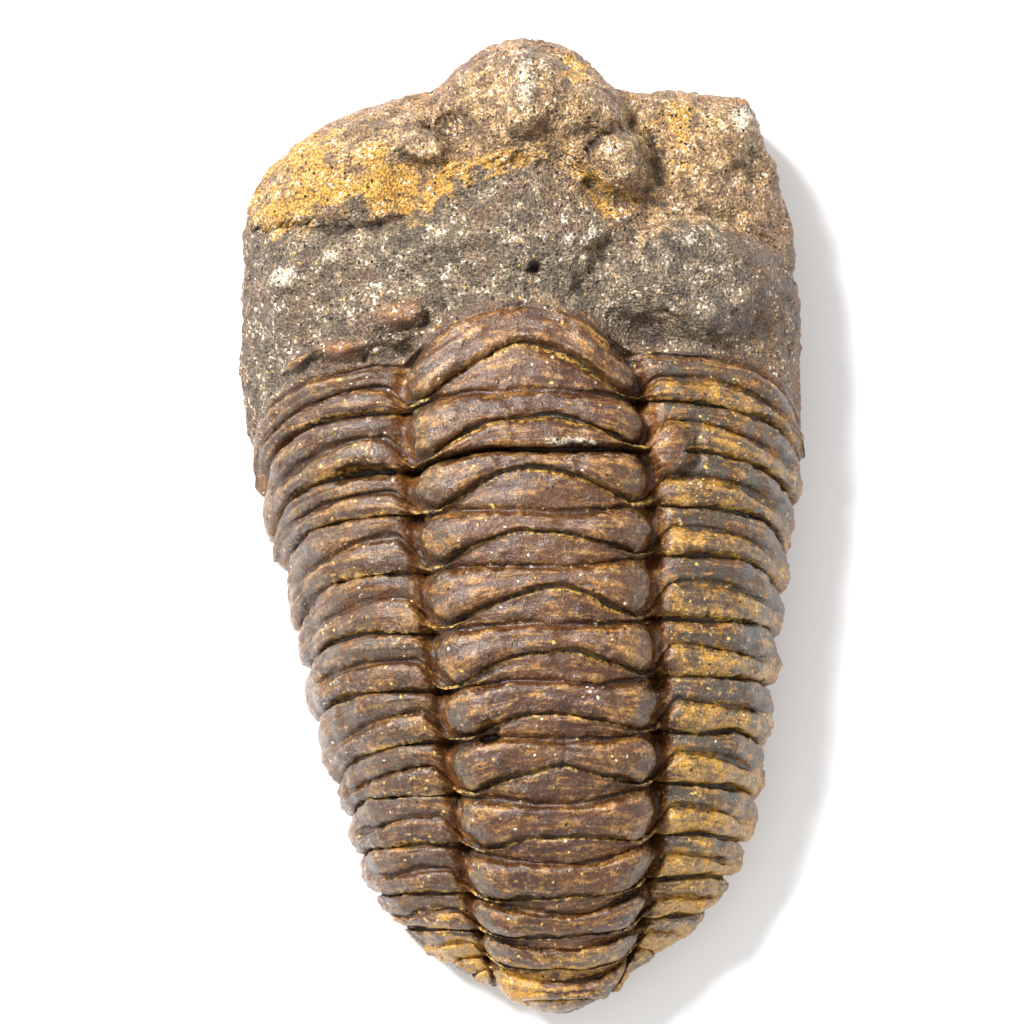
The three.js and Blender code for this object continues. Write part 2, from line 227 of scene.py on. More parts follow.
# creases, and sharp ridges: the points they run through, half width and depth or height
creases = [
    ("furrow before the neck",
     [(-7.6, 24.4), (-4.7, 26.2), (-0.2, 27.2), (3.4, 26.3), (6.4, 24.3)], 0.5, 0.5),
    ("crease left of the plateau", [(9.1, 23.1), (7.6, 22.0), (6.2, 20.6), (5.0, 18.9)], 0.4, 0.5),
    ("crack behind it", [(5.4, 19.4), (4.6, 18.1), (3.8, 17.0), (2.9, 16.3)], 0.26, 0.6),
    ("right plateau's edge", [(9.2, 22.6), (13.9, 23.7), (17.0, 22.5), (20.0, 20.8)], 0.4, 0.6),
    ("left cheek's edge",
     [(-20.9, 22.3), (-17.5, 22.6), (-14.0, 22.2), (-10.1, 22.5), (-8.2, 23.6)], 0.3, 1.0),
    ("under the basal lobe",
     [(4.6, 26.3), (6.0, 24.9), (8.3, 24.2), (10.2, 25.8), (10.5, 28.2), (9.6, 30.2)], 0.36, 0.9),
    ("front lobe's right furrow", [(5.6, 34.9), (7.4, 33.6), (8.4, 31.8), (8.9, 30.0)], 0.36, 1.3),
    ("groove inside the front rim", [(1.6, 36.2), (3.7, 35.1), (5.4, 33.6)], 0.4, 0.7),
    ("left face's furrow", [(-6.4, 33.6), (-4.4, 33.0), (-2.4, 32.9)], 0.4, 0.5),
    ("hollow's lower lip", [(-7.2, 30.2), (-5.9, 29.5), (-4.2, 29.3)], 0.24, 0.9),
    ("gap in the left ribs", [(-13.7, 3.5), (-11.8, 4.0), (-9.6, 3.9)], 0.45, 1.4),
    ("crack behind the lower chip", [(-12.4, 12.1), (-10.4, 13.6), (-9.0, 12.9), (-7.6, 12.9)], 0.22, 0.5),
    ("below the upper chip", [(-11.0, 14.7), (-9.2, 14.3), (-7.2, 14.9), (-6.8, 16.2)], 0.2, 0.5),
    ("above the basal lobe", [(9.3, 30.2), (7.0, 29.9), (5.4, 28.6), (4.6, 26.6)], 0.3, 0.8),
    ("beside the block", [(13.1, 7.4), (13.3, 5.2), (12.4, 3.4), (10.6, 3.6)], 0.25, 0.5),
]
ridges = [
    ("midline of the front lobe", [(0.1, 39.5), (0.2, 34.5), (0.3, 31.5), (0.6, 28.6)], 2.0, 2.4),
    ("right rim of the front lobe", [(0.5, 37.4), (3.2, 36.7), (5.3, 35.3), (6.9, 33.4)], 0.5, 0.9),
    ("right face", [(1.6, 33.0), (3.4, 31.4), (4.8, 29.4)], 0.7, 0.5),
    ("right cheek's ridge", [(16.4, 33.4), (17.9, 31.0), (19.4, 28.6), (20.0, 25.0)], 0.8, 1.1),
    ("fold of the right cheek", [(13.5, 26.0), (15.6, 27.6), (17.0, 28.0)], 0.6, 0.7),
    ("left end of the furrow", [(-8.6, 24.6), (-6.4, 26.3), (-3.4, 27.6)], 0.5, 0.5),
    ("white lip of the neck", [(5.6, 22.4), (5.1, 21.4), (4.9, 20.4)], 0.35, 0.5),
    ("ledge on the left", [(-20.4, 17.0), (-17.0, 18.2), (-13.4, 17.6)], 0.6, 0.5),
]

neckArch = {
    "through": [(-8.1, 23.9), (-4.7, 25.9), (-1.3, 27.3), (1.9, 28.1), (4.7, 26.6), (6.1, 25.0), (7.1, 22.5)],
    "width": 1.3,
    "spacing": 0.6,
    "height": 0.12,
    "colourWidth": 0.9,
}

# where the grey sandy filling begins behind the cheeks and the front lobe
neckFrontX = [-21.0, -10.1, -8.2, -5.0, -2.7, 0.8, 4.4, 6.2, 9.2, 13.9, 19.7]
neckFrontY = [22.4, 22.5, 23.5, 25.2, 26.0, 26.6, 25.2, 23.0, 22.0, 23.5, 20.6]


def smooth(low, high, value):
    t = np.clip((value - low) / (high - low), 0, 1)
    return t * t * (3 - 2 * t)


def mix(low, high, share):
    return low + (high - low) * share


def field(points, size, octaves, seed, stretch=(1, 1, 1)):
    # fractal noise at many points: size is that of its largest lumps, in the points' own unit
    scaled = points / (np.array(stretch) * size) + seed * 17.3
    return np.array([noise.fractal(p, 0.9, 2.1, octaves) for p in scaled.tolist()])


def railAt(name, line):
    points = np.array(body[name])
    ended = np.vstack([2 * points[0] - points[1], points, 2 * points[-1] - points[-2]])
    step = np.clip(np.floor(line), 0, len(points) - 2).astype(int)
    t = (line - step)[:, None]
    before, start, end, after = (ended[step + i] for i in range(4))
    curve = 3 * (start - end) + after - before
    at = start + 0.5 * t * (end - before + t * (2 * before - 5 * start + 4 * end - after + t * curve))
    rise = (1 - (1 - np.clip(line / body["headLine"], 0, 1)) ** 2.4) ** body["endPower"]
    fall = (1 - np.clip(line - body["lastRingLine"], 0, 1) ** 2) ** body["endPower"]
    z = np.where(line < body["headLine"], mix(points[0, 2], points[body["headLine"], 2], rise), at[:, 2])
    z = np.where(line > body["lastRingLine"], mix(points[-1, 2], points[-2, 2], fall), z)
    at[:, 2] = z
    return at


def dividingShare(segment, across):
    # where in its segment the crack behind the band lies, or on the sides the rib's groove
    a = np.abs(across)
    offset = np.clip(np.abs(across - segments["peak"] * (1 - a)) / segments["reach"], 0, 1)
    shares = np.array(segments["bandShare"])[segment]
    bends = np.stack([across * 3, segment * 5.3, 0 * across], axis=1)
    shares = shares + segments["crackBends"] * field(bends, 2, 2, seed=15) * (1 - a ** 4)
    onBand = mix(shares, segments["bandShareAtFurrow"], offset ** 2)
    onRib = mix(*segments["ribShare"], smooth(1.1, 1.7, a))
    return mix(onBand, onRib, smooth(0.97, 1.1, a))


def placeInSegment(row):
    segment = np.clip(np.floor(row - body["neckLine"]), 0, len(segments["bandShare"]) - 1).astype(int)
    return segment, row - body["neckLine"] - segment


def lineOf(row, across):
    segment, share = placeInSegment(row)
    divide = dividingShare(segment, across)
    warped = np.where(share < 0.5, 2 * share * divide, divide + (2 * share - 1) * (1 - divide))
    onRings = (row > body["neckLine"]) & (row < body["tailLine"])
    return np.where(onRings, body["neckLine"] + segment + warped, row)


def bodyAt(line, across):
    a = np.abs(across)
    left = (across < 0)[:, None]
    crest = railAt("crest", line)
    furrow = np.where(left, railAt("leftFurrow", line), railAt("rightFurrow", line))
    margin = np.where(left, railAt("leftMargin", line), railAt("rightMargin", line))
    inner = np.clip(a, 0, 1)
    onNeck = smooth(1.1, 1.6, line) * (1 - smooth(2.75, 3.05, line))
    arch = (1 - inner * inner) ** mix(body["axisPower"], body["neckPower"], onNeck)
    axis = np.stack([
        mix(crest[:, 0], furrow[:, 0], inner),
        mix(crest[:, 1], furrow[:, 1], inner ** body["arrowPower"]),
        mix(furrow[:, 2], crest[:, 2], arch),
    ], axis=1)
    turn = np.clip(a - 1, 0, 1) * math.pi / 2
    headSweep = np.where(across < 0, body["leftHeadSweep"], body["rightHeadSweep"])
    sweep = mix(headSweep, body["ringSweep"], smooth(0, body["neckLine"], line))
    flank = np.stack([
        mix(furrow[:, 0], margin[:, 0], np.sin(turn)),
        mix(furrow[:, 1], margin[:, 1], (1 - np.cos(turn)) ** sweep),
        mix(margin[:, 2], furrow[:, 2], np.abs(np.cos(turn)) ** body["flankPower"]),
    ], axis=1)
    wall = margin.copy()
    wall[:, 2] = mix(margin[:, 2], body["below"], np.clip(a - 2, 0, 1))
    place = np.where((a <= 1)[:, None], axis, flank)
    return np.where((a > 2)[:, None], wall, place)


def outwardAt(line, across):
    a = np.abs(across)
    lean = mix(0.5 * a ** 4, 0.2, smooth(0.94, 1, a))
    turn = np.where(a <= 1, lean, mix(0.2, math.pi / 2, np.clip(a - 1, 0, 1)))
    forward = 1 - smooth(0, 0.5, line) - smooth(body["tailLine"] - 0.6, body["tailLine"], line)
    way = np.stack([
        np.sign(across) * np.sin(turn),
        forward * 0.6,
        np.cos(turn) * (1 - 0.7 * np.abs(forward)),
    ], axis=1)
    return way / np.linalg.norm(way, axis=1)[:, None]


def roll(share, power=0.6):
    # a rounded band between two grooves
    return np.sin(math.pi * np.clip(share, 0, 1)) ** power


def notch(distance, width):
    return np.exp(-((distance / width) ** 2))


def ringRelief(segment, share, across, toCrack, toEdge):
    # a band with a knob at each end, and the half ring behind it
    plan = segments
    a = np.abs(across)
    knob = smooth(*plan["knobGrows"], a)
    place = 4 * share - 1  # from -1 at the band's front to 1 at its rear edge
    rearPower = mix(*plan["rearPower"], smooth(*plan["rearRounds"], a))
    bow = np.where(place < 0, np.abs(place) ** 2, np.abs(place) ** rearPower)
    end = np.clip((a - plan["knobStart"]) / (plan["knobEnd"] - plan["knobStart"]), 0, 2) ** 2
    onBand = mix(*plan["bandHeight"], knob) * np.clip(1 - bow - end, 0, 1) ** plan["bandPower"]
    groove = notch(place - plan["bandGroovePlace"], plan["bandGrooveWidth"])
    onBand -= plan["bandGroove"] * groove * (1 - 0.6 * knob)
    onBand -= plan["knobFloor"] * smooth(0.92, 1.5, bow + end) * smooth(plan["knobStart"], 0.86, a)
    last = len(plan["bandShare"]) - 1
    lines = plan["firstRingLines"] * (segment == 0) + plan["tailLines"] * (segment == last)
    onBand += lines * np.cos(plan["lineCount"] * math.pi * (place + 1)) * (1 - bow)
    behind = np.clip(2 * share - 1, 0, 1)
    onHalf = -mix(*plan["bandDrop"], knob) * (1 - 0.8 * roll(behind, 0.8))
    flake = plan["flakeHeight"] * roll(behind, 0.4) * smooth(*plan["flakeFrom"], across)
    onHalf = np.where(segment == plan["flakeSegment"], flake, onHalf)
    relief = np.where(share < 0.5, onBand, onHalf)
    wide = (segment - plan["flakeSegment"] == (share < 0.5)) & (np.abs(share - 0.5) > 0.2)
    relief -= np.where(wide, plan["bigCrackDepth"] * notch(toEdge, plan["bigCrackWidth"]), 0)
    relief -= mix(*plan["crackDepth"], knob) * notch(toCrack, plan["crackWidth"])
    return relief - plan["frontDepth"] * notch(toEdge, plan["frontWidth"])


def ribRelief(share, a, toCrack, toEdge, uneven):
    # two ribs to a segment, which end in one tip
    plan = segments
    spindle = mix(plan["frontRibEnds"], 1, roll((a - 1.0) / 0.95, 0.7))
    frontRib = plan["frontRibHeight"] * spindle * roll(2 * share, plan["ribPower"])
    rearRib = plan["rearRibHeight"] * roll(2 * share - 1, plan["ribPower"])
    ribs = np.where(share < 0.5, frontRib, rearRib) * uneven
    ribs -= plan["ribCrackDepth"] * notch(toEdge, plan["ribCrackWidth"])
    ribs -= plan["ribGrooveDepth"] * notch(toCrack, plan["ribGrooveWidth"])
    tip = plan["tipHeight"] * roll(share, 0.8) * uneven + plan["tipOverlap"] * (share - 0.5)
    tip -= plan["ribCrackDepth"] * notch(toEdge, plan["ribCrackWidth"])
    return mix(ribs, tip, smooth(*plan["tipFrom"], a))


def segmentRelief(row, across, uneven):
    # also says where the yellow seams lie, along the cracks
    a = np.abs(across)
    segment, share = placeInSegment(row)
    divide = dividingShare(segment, across)
    length = segments["length"] * (1 - 0.25 * smooth(1, 2, a))
    partLength = 2 * length * np.where(share < 0.5, divide, 1 - divide)
    toEdge = np.minimum(share, 1 - share) * partLength
    toCrack = np.abs(share - 0.5) * partLength
    onSides = smooth(0.98, 1.06, a)
    ring = ringRelief(segment, share, across, toCrack, toEdge)
    ribs = ribRelief(share, a, toCrack, toEdge, uneven)
    behindCrack = np.where(share > 0.5, toCrack, -toCrack)
    beforeEdge = np.where(share > 0.5, toEdge, -toEdge)
    onAxis = notch(behindCrack - segments["seamOffset"], segments["seamWidth"])
    onRibs = notch(beforeEdge - segments["seamOffset"], segments["seamWidth"])
    seam = mix(onAxis, onRibs * (1 - smooth(1.4, 1.65, a)), onSides)
    onRings = smooth(body["neckLine"] - 0.02, body["neckLine"] + 0.02, row)
    onTail = smooth(body["lastRingLine"] - 2, body["lastRingLine"], row)
    relief = mix(ring, ribs, onSides) * onRings * (1 - 0.35 * onTail) * (1 - smooth(2.2, 2.8, a))
    return relief, seam * onRings


def furrowRelief(row, across):
    plan = segments
    onRings = smooth(2.95, 3.2, row) * (1 - smooth(body["lastRingLine"], body["tailLine"], row))
    fromKnob = np.abs((row - body["neckLine"] + 0.5) % 1 - 0.5)
    depth = plan["furrowDepth"] + plan["pitDepth"] * np.clip(1 - fromKnob / plan["pitShare"], 0, 1)
    aside = np.clip(1 - np.abs(np.abs(across) - 1) / plan["furrowWidth"], 0, 1)
    return -depth * onRings * smooth(0, 1, aside)


def swelling(x, y, form):
    # its share at each place, its height, and how far along it the place lies
    _, atX, atY, halfX, halfY, degrees, height, square = form
    turn = math.radians(degrees)
    along = ((x - atX) * math.cos(turn) + (y - atY) * math.sin(turn)) / halfX
    aside = ((y - atY) * math.cos(turn) - (x - atX) * math.sin(turn)) / halfY
    return np.exp(-((along * along + aside * aside) ** (square / 2))), height, along


def formRelief(x, y):
    relief = np.zeros_like(x)
    for form in forms:
        there, height, _ = swelling(x, y, form)
        relief += height * there
    return relief


def lumpRelief(x, y):
    # how much each place is covered by a lump, and how high the lump stands there
    size = drifting["lumpEdgeSize"]
    ragged = drifting["lumpEdge"] * field(np.stack([x, y, 0 * x], axis=1), size, 3, seed=12)
    covered = np.zeros_like(x)
    total = np.zeros_like(x)
    for form in lumps:
        there, height, along = swelling(x + ragged, y + ragged, form)
        covered = np.maximum(covered, there)
        total += height * there * (1 - 0.1 * along * along)
    return covered, total


def archLines(x, y):
    # fine lines that arch over the neck, side by side
    distance, where = nearCurve(x, y, neckArch["through"])
    there = smooth(0, 0.15, where) * smooth(0, 0.15, 1 - where) * notch(distance, neckArch["width"])
    return there * np.cos(2 * math.pi * distance / neckArch["spacing"])


def nearCurve(x, y, through):
    # distance to a line through a few points, and how far along it
    points = np.array(through)
    steps = np.linspace(0, len(points) - 1, 12 * (len(points) - 1) + 1)
    fine = np.stack([np.interp(steps, range(len(points)), points[:, i]) for i in (0, 1)], axis=1)
    nearest = np.full_like(x, 1e9)
    where = np.zeros_like(x)
    for i, (pointX, pointY) in enumerate(fine):
        distance = np.hypot(x - pointX, y - pointY)
        closer = distance < nearest
        nearest = np.where(closer, distance, nearest)
        where = np.where(closer, i / (len(fine) - 1), where)
    return nearest, where


def creaseRelief(x, y):
    relief = np.zeros_like(x)
    for _, through, half, depth in creases:
        distance, where = nearCurve(x, y, through)
        ends = smooth(0, 0.1, where) * smooth(0, 0.1, 1 - where)
        relief -= depth * ends * notch(distance, half)
    for _, through, half, height in ridges:
        distance, where = nearCurve(x, y, through)
        ends = smooth(0, 0.2, where) * smooth(0, 0.2, 1 - where)
        relief += height * ends * np.exp(-distance / half)
    return relief


def gathered(count, waves, amount):
    # even steps from 0 to 1, drawn together at every 1 / waves
    t = np.linspace(0, 1, count + 1)
    return t - amount * np.sin(2 * math.pi * waves * t) / (2 * math.pi * waves)


def netPlaces():
    steps = net["wallSteps"]
    wall = np.arange(steps)
    segment = gathered(net["rowsPerSegment"], 2, net["rowGathering"])[:-1]
    headRows = body["neckLine"] * np.linspace(0, 1, net["headRows"] + 1)[:-1] ** net["headRowPower"]
    ringRows = [body["neckLine"] + k + segment for k in range(len(segments["bandShare"]))]
    rows = np.concatenate([np.zeros(steps), headRows, *ringRows, np.full(steps + 1, body["tailLine"])])
    rises = np.concatenate([wall / steps, np.ones(len(rows) - 2 * steps), wall[::-1] / steps])
    t = np.linspace(-2, 2, net["topColumns"] + 1)
    top = t + net["columnGathering"] * np.sin(math.pi * t) / math.pi
    side = 2 + (wall + 1) / steps
    across = np.concatenate([-side[::-1], top, side])
    return rows, rises, across


def writeAttribute(mesh, name, values):
    layer = mesh.attributes.new(name, "FLOAT", "POINT")
    layer.data.foreach_set("value", np.asarray(values, dtype=np.float32))


def readAttribute(mesh, name):
    values = np.empty(len(mesh.vertices), dtype=np.float32)
    mesh.attributes[name].data.foreach_get("value", values)
    return values.astype(float)


def readPlaces(mesh):
    places = np.empty(len(mesh.vertices) * 3, dtype=np.float32)
    mesh.vertices.foreach_get("co", places)
    return places.reshape(-1, 3).astype(float)


def writePlaces(mesh, places):
    mesh.vertices.foreach_set("co", places.astype(np.float32).ravel())
    mesh.update()


def flatPlaces(across, row, size):
    return np.stack([across * size[0], row * size[1], np.zeros_like(row)], axis=1)


def flatNet():
    # a flat grid of points, with each point's row, its place across and its share of an end wall's height
    rows, rises, across = netPlaces()
    bm = bmesh.new()
    bmesh.ops.create_grid(bm, x_segments=len(across) - 1, y_segments=len(rows) - 1, size=1, calc_uvs=True)
    mesh = bpy.data.meshes.new("fossil")
    bm.to_mesh(mesh)
    bm.free()
    flat = readPlaces(mesh)
    column = np.rint((flat[:, 0] + 1) / 2 * (len(across) - 1)).astype(int)
    line = np.rint((1 - flat[:, 1]) / 2 * (len(rows) - 1)).astype(int)
    return mesh, rows[line], rises[line], across[column]


def drifted(row, across):
    # where on the body each point of the net lies, a little off its own place
    plan = drifting
    a = np.abs(across)
    places = flatPlaces(across, row, plan["flatSize"])
    inner = smooth(0, plan["steadyEnds"], row) * smooth(0, plan["steadyEnds"], body["tailLine"] - row)
    along = field(places, plan["alongSize"], 3, seed=1) * mix(*plan["along"], smooth(1, 1.3, a))
    line = lineOf(row, across) + along * inner * (1 - smooth(2, 2.6, a))
    sideways = plan["across"] * field(places, plan["acrossSize"], 2, seed=2)
    return line, across + sideways * inner * smooth(0, 0.3, 2 - a)


def coarseSkin():
    # the flat net moved onto the body, with its rings, ribs and the forms of the head
    mesh, row, rise, across = flatNet()
    a = np.abs(across)
    line, movedAcross = drifted(row, across)
    base = bodyAt(line, movedAcross)
    x, y = base[:, 0], base[:, 1]

    places = flatPlaces(across, row, drifting["flatSize"])
    uneven = 1 + drifting["uneven"] * field(places, drifting["unevenSize"], 2, stretch=(1.6, 1, 1), seed=9)
    segmented, seam = segmentRelief(row, across, uneven)
    relief = (segmented + furrowRelief(row, across)) * (1 - smooth(0.2, 0.8, 1 - rise))
    onNeck = smooth(1.2, 1.7, line) * (1 - smooth(2.6, 2.95, line))
    relief += body["neckFilling"] * onNeck * notch(a - 1, 0.25)
    covered, lumpHeight = lumpRelief(x, y)
    places = base + outwardAt(line, movedAcross) * (relief * (1 - covered))[:, None]

    onWalls = 1 - np.clip(a - 2, 0, 1)  # fades evenly down the walls, so that they meet at the corners
    onTop = (1 - smooth(1.9, 2.3, np.clip(a, 0, 2))) * onWalls
    brink = bodyAt(line, np.clip(movedAcross, -2, 2))
    wobble = drifting["wobble"] * field(brink, drifting["wobbleSize"], 3, seed=14)
    raised = formRelief(x + wobble, y - wobble) + creaseRelief(x + wobble, y - wobble)
    lines = archLines(x, y)
    places[:, 2] += lumpHeight * onWalls + raised * onTop + neckArch["height"] * lines

    onEnds = rise < 1
    places[:, 2] = np.where(onEnds, mix(body["below"], places[:, 2], rise), places[:, 2])
    turned = np.clip(1 - places[:, 2] / body["tuckHeight"], 0, 1) ** 2
    places[:, 0] *= 1 - body["sideTuck"] * turned
    places[:, 1] *= 1 - body["endTuck"] * turned
    writePlaces(mesh, places)

    writeAttribute(mesh, "row", row)
    writeAttribute(mesh, "across", across)
    writeAttribute(mesh, "head", 1 - smooth(2.8, 3.1, line))
    writeAttribute(mesh, "seam", seam * (1 - covered))
    writeAttribute(mesh, "lines", np.clip(lines, 0, 1))
    writeAttribute(mesh, "chips", covered * (y < 20))  # all lumps but the basal lobe
    writeAttribute(mesh, "corner", onEnds & (a > 2 + 1e-6))
    return mesh


def weldCorners(mesh):
    # the spare patches at the four upright corners go, and the walls meet there
    bm = bmesh.new()
    bm.from_mesh(mesh)
    corner = bm.verts.layers.float["corner"]
    spare = [v for v in bm.verts if v[corner] > 0.5]
    bmesh.ops.delete(bm, geom=spare, context="VERTS")
    bmesh.ops.remove_doubles(bm, verts=bm.verts, dist=net["weld"])
    bmesh.ops.recalc_face_normals(bm, faces=bm.faces)
    bm.to_mesh(mesh)
    bm.free()


def vertexNormals(mesh):
    normals = np.empty(len(mesh.vertices) * 3, dtype=np.float32)
    mesh.vertex_normals.foreach_get("vector", normals)
    return normals.reshape(-1, 3).astype(float)


def neighbourMean(mesh, values, turns):
    # each point's value drawn towards its neighbours', again and again
    edges = np.empty(len(mesh.edges) * 2, dtype=np.int32)
    mesh.edges.foreach_get("vertices", edges)
    one, other = edges.reshape(-1, 2).T
    count = len(mesh.vertices)
    degree = np.bincount(one, minlength=count) + np.bincount(other, minlength=count)
    for _ in range(turns):
        total = np.bincount(one, values[other], count) + np.bincount(other, values[one], count)
        values = 0.3 * values + 0.7 * total / np.maximum(degree, 1)
    return values


def hollowness(mesh, turns):
    # how far each point lies below its surroundings, in millimetres
    places = readPlaces(mesh)
    around = np.stack([neighbourMean(mesh, places[:, i], turns) for i in range(3)], axis=1)
    return ((around - places) * vertexNormals(mesh)).sum(axis=1)


grain = {
    "flatSize": (9, 4.3),  # millimetres for a unit across and for a row
    "lumps": 0.2,  # slow unevenness, of some 4 mm
    "lumpsOnRings": 0.6,  # shares of that height
    "lumpsElsewhere": 1.3,
    "folds": 0.26,  # creases along the rings and ribs
    "striations": 0.06,
    "grit": (0.05, 0.09),  # on the shell, and on the head
    "fineGrit": (0.02, 0.05),
    "flakes": 0.13,  # the steps where thin layers have broken away
    "headFlakes": 0.16,
    "lobe": (0.6, 1.0, 31.5, 6.5, 5.0),  # the front lobe is smoother: by how much, x, y and half sizes
    "sparedHeight": (0.2, 2),  # nothing is roughened right above the base
}


def spot(x, y, share, atX, atY, halfX, halfY):
    # a soft round patch
    return share * np.exp(-(((x - atX) / halfX) ** 2 + ((y - atY) / halfY) ** 2))


def roughen(mesh):
    places = readPlaces(mesh)
    normals = vertexNormals(mesh)
    row = readAttribute(mesh, "row")
    across = readAttribute(mesh, "across")
    head = readAttribute(mesh, "head")
    flat = flatPlaces(across, row, grain["flatSize"])
    shell = 1 - head
    sides = smooth(1, 1.3, np.abs(across))
    head = head * (1 - spot(places[:, 0], places[:, 1], *grain["lobe"]))
    share = mix(grain["lumpsOnRings"], grain["lumpsElsewhere"], np.maximum(head, sides * shell))
    relief = grain["lumps"] * field(places, 4, 3, seed=3) * share
    folds = np.abs(field(flat, 1.3, 3, stretch=(6, 1, 1), seed=4)) ** 0.6
    relief += grain["folds"] * (folds - 0.3) * shell * mix(0.7, 1, sides)
    relief += grain["striations"] * field(flat, 0.6, 2, stretch=(9, 1, 1), seed=5) * shell
    relief += mix(*grain["grit"], head) * field(places, 0.9, 3, seed=6)
    relief += mix(*grain["fineGrit"], head) * field(places, 0.45, 2, seed=10)
    flakes = field(places, 2.5, 4, seed=7)
    relief -= grain["flakes"] * smooth(0.0, 0.05, flakes)
    broken = field(places, 4.5, 4, stretch=(1.4, 0.8, 1), seed=16)
    layers = smooth(-0.15, -0.1, broken) + smooth(0.2, 0.26, broken)
    relief -= grain["headFlakes"] * layers * head
    low = smooth(*grain["sparedHeight"], places[:, 2])
    writePlaces(mesh, places + normals * (relief * low)[:, None])


def cutBase(mesh):
    bm = bmesh.new()
    bm.from_mesh(mesh)
    everything = bm.verts[:] + bm.edges[:] + bm.faces[:]
    bmesh.ops.bisect_plane(bm, geom=everything, plane_co=(0, 0, 0), plane_no=(0, 0, 1), clear_inner=True)
    rim = [e for e in bm.edges if e.is_boundary]
    bmesh.ops.contextual_create(bm, geom=rim)
    bmesh.ops.triangulate(bm, faces=[f for f in bm.faces if len(f.verts) > 4])
    bmesh.ops.recalc_face_normals(bm, faces=bm.faces)
    for f in bm.faces:
        f.smooth = f.calc_center_median().z > 0.01
    print("base cut flat, open edges left:", sum(e.is_boundary for e in bm.edges))
    bm.to_mesh(mesh)
    bm.free()


# soft round patches of colour: share, x, y and half sizes
patches = {
    "yellow": [
        (1.2, -16.5, 26.0, 7.5, 5.0), (0.6, -7.5, 26.3, 4.5, 2.4), (0.6, 12.0, 29.0, 4.0, 5.0),
        (0.9, 4.2, 34.6, 1.8, 1.2), (0.6, 7.8, 24.7, 2.6, 0.9), (0.3, 12.5, 30.5, 3.0, 2.5),
        (0.6, -19.0, 22.0, 2.2, 0.9), (0.45, 0, 32, 9, 5),
    ],
    "rust": [
        (0.8, 7.0, 34.0, 1.4, 2.2), (0.5, -9.0, 15.9, 1.8, 1.1), (0.5, -13.6, 13.2, 1.9, 0.9),
        (0.7, 9.0, 24.7, 2.0, 1.0), (0.5, 19.5, 16.0, 2.5, 12.0),
    ],
    "pale": [
        (0.8, 0.4, 33.0, 1.3, 4.5), (0.9, 17.0, 31.0, 1.6, 1.8), (0.7, 6.9, 28.2, 1.4, 1.1),
        (0.8, 12.6, 21.3, 1.0, 0.8), (1.0, 5.4, 21.9, 0.4, 0.9), (0.7, -6.2, 21.9, 1.2, 0.8),
        (0.85, -18.0, 18.8, 2.1, 1.2), (0.75, -14.5, 20.3, 1.5, 0.7), (0.6, -9.3, 16.2, 1.0, 0.6),
        (0.8, 3.6, 6.2, 3.6, 0.6), (0.55, -7.2, 28.6, 1.6, 1.0),
    ],
    # partly brown stain, partly painted shade in the hollows and under the edges of the head's forms
    "darkStainAndShade": [
        (1.0, -5.2, 30.3, 2.3, 1.2), (0.8, -3.4, 35.4, 2.6, 1.2), (0.6, -8.9, 23.7, 2.6, 1.0),
        (0.2, 10.6, 26.5, 0.9, 3.0), (0.6, 8.8, 14.7, 2.6, 0.8), (0.6, 15.0, 25.2, 2.5, 1.6),
        (0.6, -13.4, 24.0, 2.6, 0.8), (0.7, -9.0, 14.6, 3.0, 1.4), (0.7, 18.0, 17.0, 1.2, 4.0),
        (0.5, 2.6, 33.2, 1.3, 2.6),
    ],
    "shadeInDrilledDot": [(1.5, 1.0, 19.3, 0.4, 0.4)],
    "block": [(1.0, 11.1, 5.9, 2.4, 2.4)],
    "topOfBlock": [(0.5, 10.8, 6.2, 1.1, 1.0)],
    "darkFilling": [(0.45, -18.0, 15.5, 7.0, 6.0)],
}
# sharp edges get wear; hollows get painted shade, and crests a painted highlight
wearShadeAndHighlight = {
    "turns": (2, 6, 60),  # how far around each place is looked at, for edges, close hollows and wide ones
    "edge": (0.0, 0.1),  # millimetres that it stands above what lies around
    "closeHollow": (0.05, 0.3),
    "wideHollow": (0.2, 0.9),
    "closeCrest": (0.03, 0.2),
    "wideCrest": (0.15, 0.6),
    "furrowWidth": 0.06,
}
ochreShares = {
    "rightSide": 0.44,
    "rightRearRibs": 0.16,
    "rightFarBack": 0.2,
    "leftRearRibs": 0.27,
    "tail": 0.62,
    "neckArch": 0.7,
    "archLines": 0.3,
    "block": 0.5,
    "filling": 0.15,
}
rustShares = {
    "furrows": 0.5,
    "margin": 0.9,
    "frontEdge": 0.7,
    "block": 0.3,
    "rightEndOfArch": 0.5,
}


def onRearRib(row):
    share = placeInSegment(row)[1]
    return smooth(0.4, 0.6, share) * (1 - smooth(0.97, 1, share))


def patched(name, x, y):
    return sum(spot(x, y, *patch) for patch in patches[name])


def paintWearAndShade(mesh, x, y, across, head):
    # how hollow, how high and how sharp each place is: hollows get painted shade, crests a painted highlight,
    # sharp edges wear
    edge, close, wide = (hollowness(mesh, turns) for turns in wearShadeAndHighlight["turns"])
    inFurrow = notch(np.abs(across) - 1, wearShadeAndHighlight["furrowWidth"])
    closeHollow = 0.5 * smooth(*wearShadeAndHighlight["closeHollow"], close)
    wideHollow = 0.5 * smooth(*wearShadeAndHighlight["wideHollow"], wide) * (1 - 0.75 * head)
    # painted shade: the hollows and the drilled dot, darkened towards near black
    hollow = (closeHollow + wideHollow) * (1 - 0.45 * inFurrow) + patched("shadeInDrilledDot", x, y)
    writeAttribute(mesh, "hollowShade", np.clip(hollow, 0, 1))
    # painted highlight, partly worn tan tone: the crests, which would catch the light, are marked for a
    # lighter tan
    crest = 0.5 * smooth(*wearShadeAndHighlight["closeCrest"], -close) + 0.6 * smooth(*wearShadeAndHighlight["wideCrest"], -wide)
    writeAttribute(mesh, "crest", crest)
    writeAttribute(mesh, "ridge", smooth(*wearShadeAndHighlight["edge"], -edge) * (1 - head))
    return inFurrow


